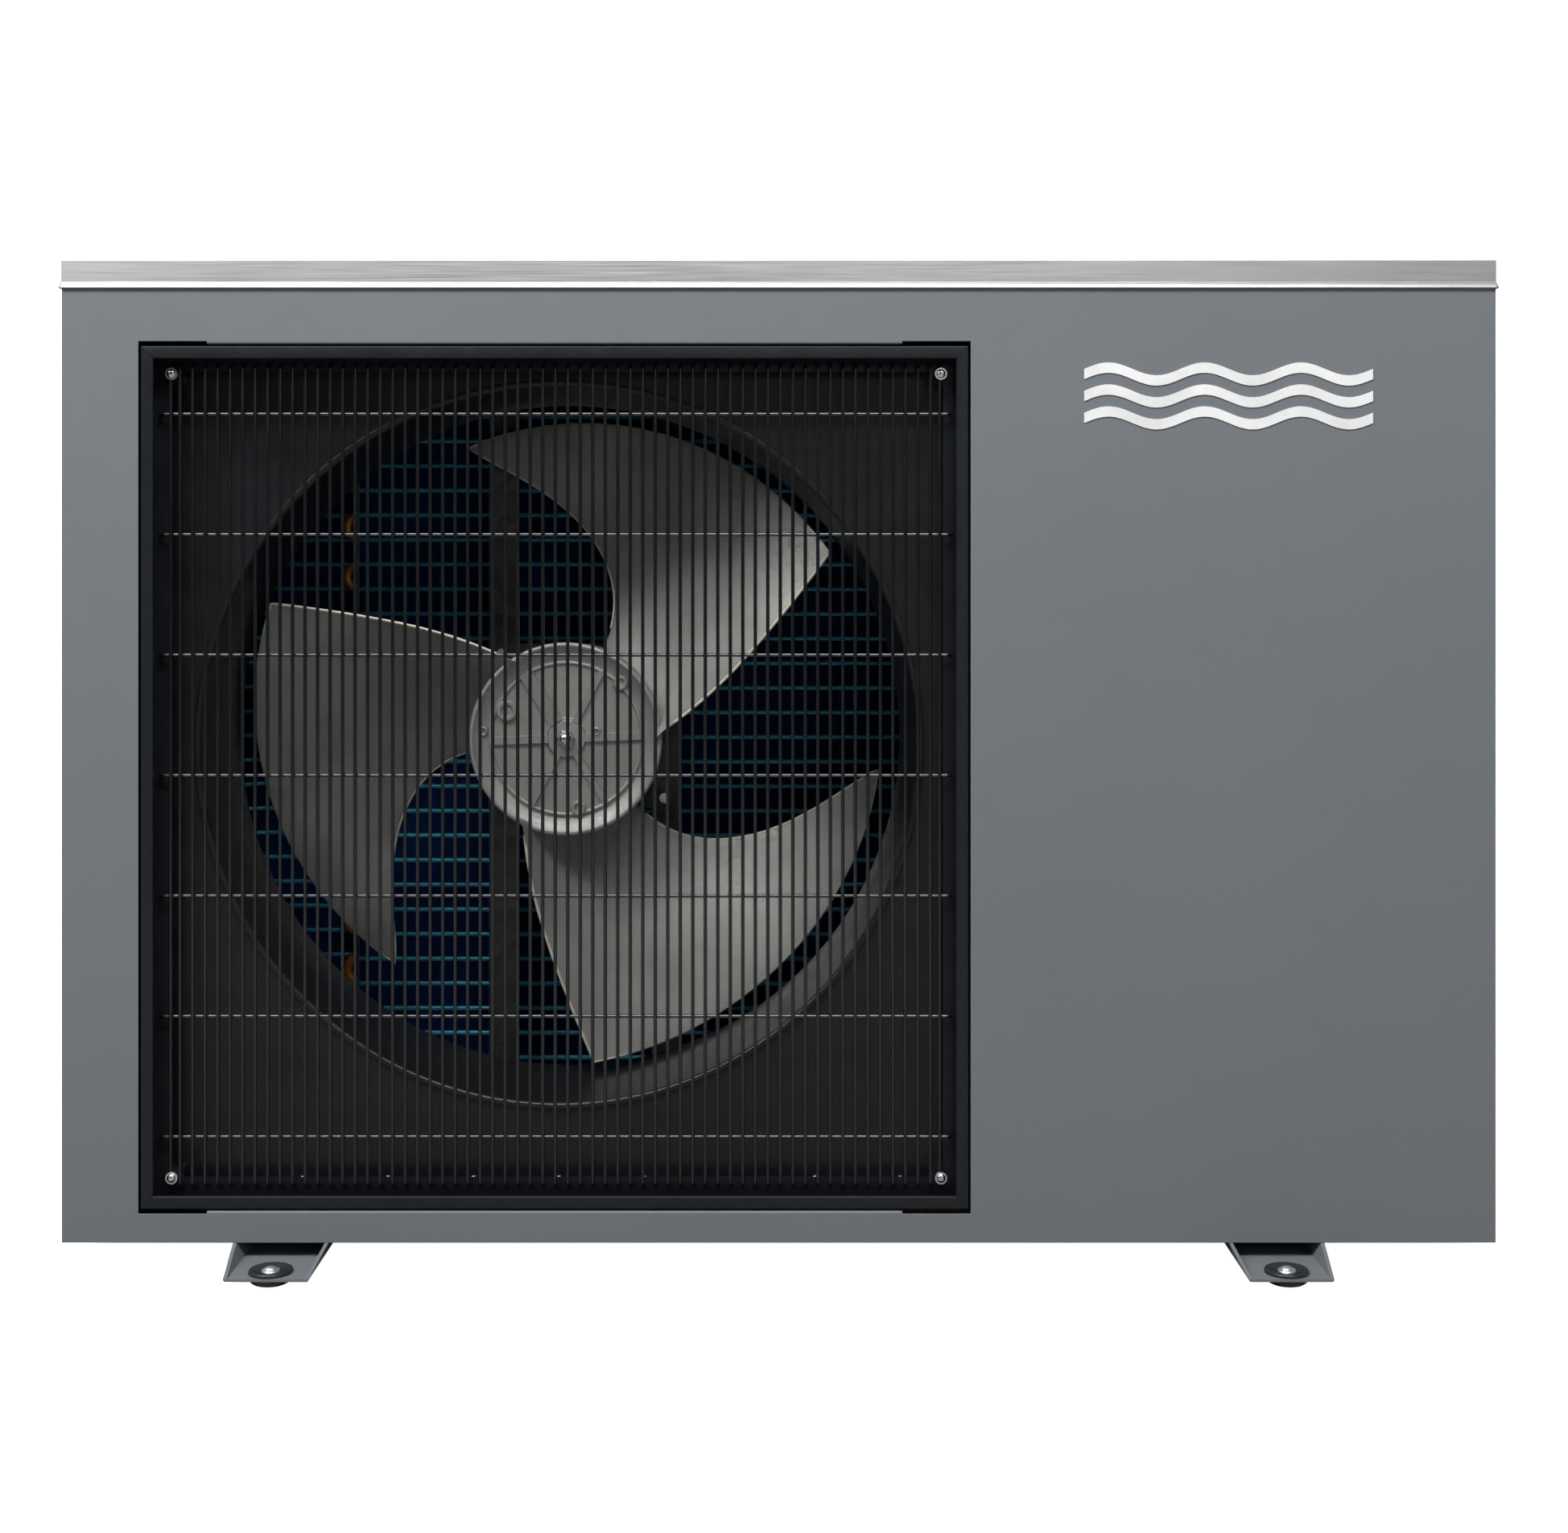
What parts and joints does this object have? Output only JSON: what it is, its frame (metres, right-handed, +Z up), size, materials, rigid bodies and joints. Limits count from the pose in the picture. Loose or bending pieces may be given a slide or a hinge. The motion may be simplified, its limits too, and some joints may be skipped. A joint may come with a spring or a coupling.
{
  "type": "heat pump unit",
  "caption": "Floor-standing air-source heat pump for pool water: grey sheet-metal casing on foot rails, axial fan behind a square wire guard, finned coil, rear water unions.",
  "frame": {"origin": "on the ground under the middle of the casing", "axes": "+X to the right seen from the front, +Y from the fan side to the rear, +Z up"},
  "size_m": [1.118, 0.5, 0.7825],
  "materials": {
    "panel_paint": "satin fine-texture grey powder coat",
    "black_paint": "black powder coat",
    "shroud_black": "matt black coated steel",
    "zinc": "galvanised sheet",
    "lid_metal": "brushed, rolled lip",
    "screw_steel": "bright zinc-plated",
    "cast_alloy": "cast, as tumbled",
    "shaft_steel": "ground",
    "fin_blue": "blue hydrophilic coated fins",
    "copper": "bare copper tube",
    "brass": "machined",
    "rubber": "moulded",
    "comp_black": "black enamelled shell",
    "motor_black": "black enamelled",
    "black_plastic": "moulded",
    "white_plastic": "moulded",
    "board_green": "lacquered circuit board",
    "nut_blue": "moulded union nut",
    "nut_red": "moulded union nut",
    "trim_white": "plain stripes"
  },
  "bodies": {
    "casing": {"base_pan": "zinc", "foot_rail_left": "panel_paint", "foot_rail_right": "panel_paint", "rubber_feet": "rubber", "foot_inserts": "screw_steel", "foot_bolts": "screw_steel", "front_panel": "panel_paint", "left_panel": "panel_paint", "right_panel": "panel_paint", "rear_panel": "panel_paint", "top_lid": "lid_metal", "casing_screws": "screw_steel", "grille_frame": "black_paint", "guard_wires": "black_paint", "guard_crossbars": "black_paint", "grille_screws": "screw_steel", "fan_shroud": "shroud_black", "shroud_screws": "screw_steel", "rear_guard": "black_plastic", "left_guard": "black_plastic", "partition": "zinc", "motor_rails": "zinc", "motor_plate": "zinc", "fan_motor": "motor_black", "motor_screws": "screw_steel", "coil_inner_row": "fin_blue", "coil_outer_row": "fin_blue", "coil_end_plates": "zinc", "return_bends": "copper", "gas_header": "copper", "liquid_distributor": "brass", "compressor": "comp_black", "compressor_grommets": "rubber", "compressor_nuts": "screw_steel", "terminal_cover": "black_plastic", "accumulator": "comp_black", "four_way_valve": "brass", "valve_solenoid": "black_plastic", "expansion_valve": "brass", "filter_drier": "copper", "discharge_pipe": "copper", "suction_pipe": "copper", "gas_pipes": "copper", "liquid_pipes": "copper", "water_exchanger": "black_plastic", "water_inlet": "black_plastic", "water_outlet": "black_plastic", "flow_switch": "black_plastic", "electrical_box": "zinc", "control_board": "board_green", "terminal_block": "white_plastic", "cable_gland": "black_plastic", "drain_spigot": "black_plastic", "badge": "trim_white"},
    "fan_rotor": {"fan_shaft": "shaft_steel", "fan": "cast_alloy", "fan_washer": "screw_steel", "fan_nut": "screw_steel"},
    "inlet_nut": {"water_inlet_nut": "nut_blue"},
    "outlet_nut": {"water_outlet_nut": "nut_red"}
  },
  "joints": [
    {"name": "fan_spin", "type": "hinge", "parent": "casing", "child": "fan_rotor", "pos_m": [-0.175, 0, 0.403], "axis": [0, 1, 0], "continuous": true},
    {"name": "inlet_nut_turn", "type": "hinge", "parent": "casing", "child": "inlet_nut", "pos_m": [0.44, 0.229, 0.12], "axis": [0, 1, 0], "continuous": true},
    {"name": "outlet_nut_turn", "type": "hinge", "parent": "casing", "child": "outlet_nut", "pos_m": [0.44, 0.229, 0.42], "axis": [0, 1, 0], "continuous": true}
  ]
}
